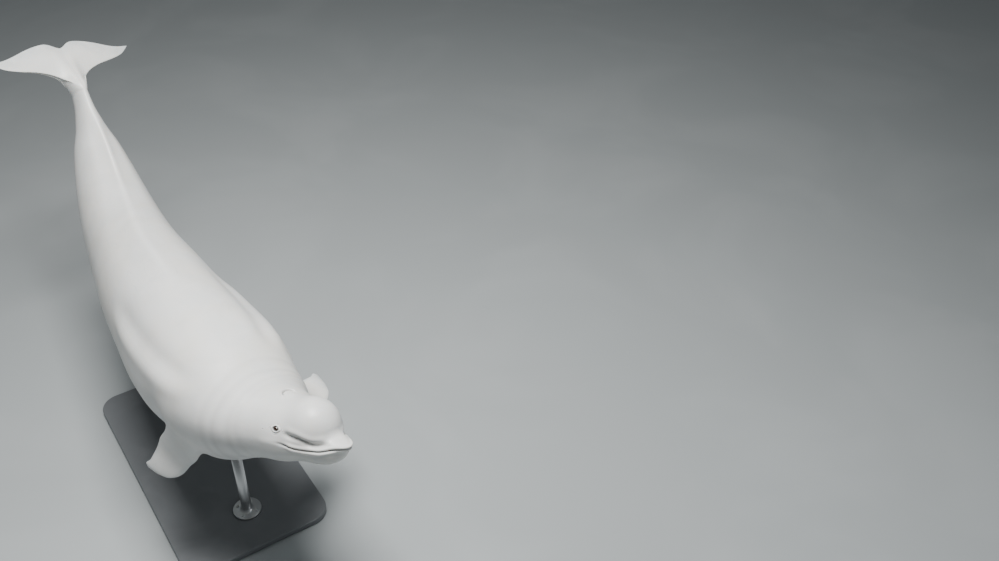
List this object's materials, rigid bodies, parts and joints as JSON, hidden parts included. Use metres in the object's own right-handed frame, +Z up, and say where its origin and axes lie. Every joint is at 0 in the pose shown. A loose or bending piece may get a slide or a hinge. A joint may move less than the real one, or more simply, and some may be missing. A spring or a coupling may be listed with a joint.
{
  "type": "beluga whale model on a display stand",
  "caption": "Life-size adult beluga whale swimming with its tail raised and head turned to its left, held by rods on a flat base.",
  "frame": {"origin": "centre of the underside of the stand's base", "axes": "+X towards the beak, +Y to the whale's left, +Z up"},
  "size_m": [3.415, 1.0598, 2.2223],
  "materials": {
    "whale_skin": "smooth, moist, faintly mottled white skin",
    "eye": "glossy dark brown",
    "stand_paint": "satin grey",
    "stand_steel": "brushed"
  },
  "bodies": {
    "root": {"head": "whale_skin", "lower_jaw": "whale_skin", "eye_left": "eye", "eye_right": "eye", "neck": "whale_skin", "chest": "whale_skin", "belly": "whale_skin", "tail_stock": "whale_skin", "fluke_left": "whale_skin", "fluke_right": "whale_skin", "flipper_left": "whale_skin", "flipper_right": "whale_skin", "stand_base": "stand_paint", "stand_rod_front": "stand_steel", "stand_rod_rear": "stand_steel"}
  },
  "joints": []
}
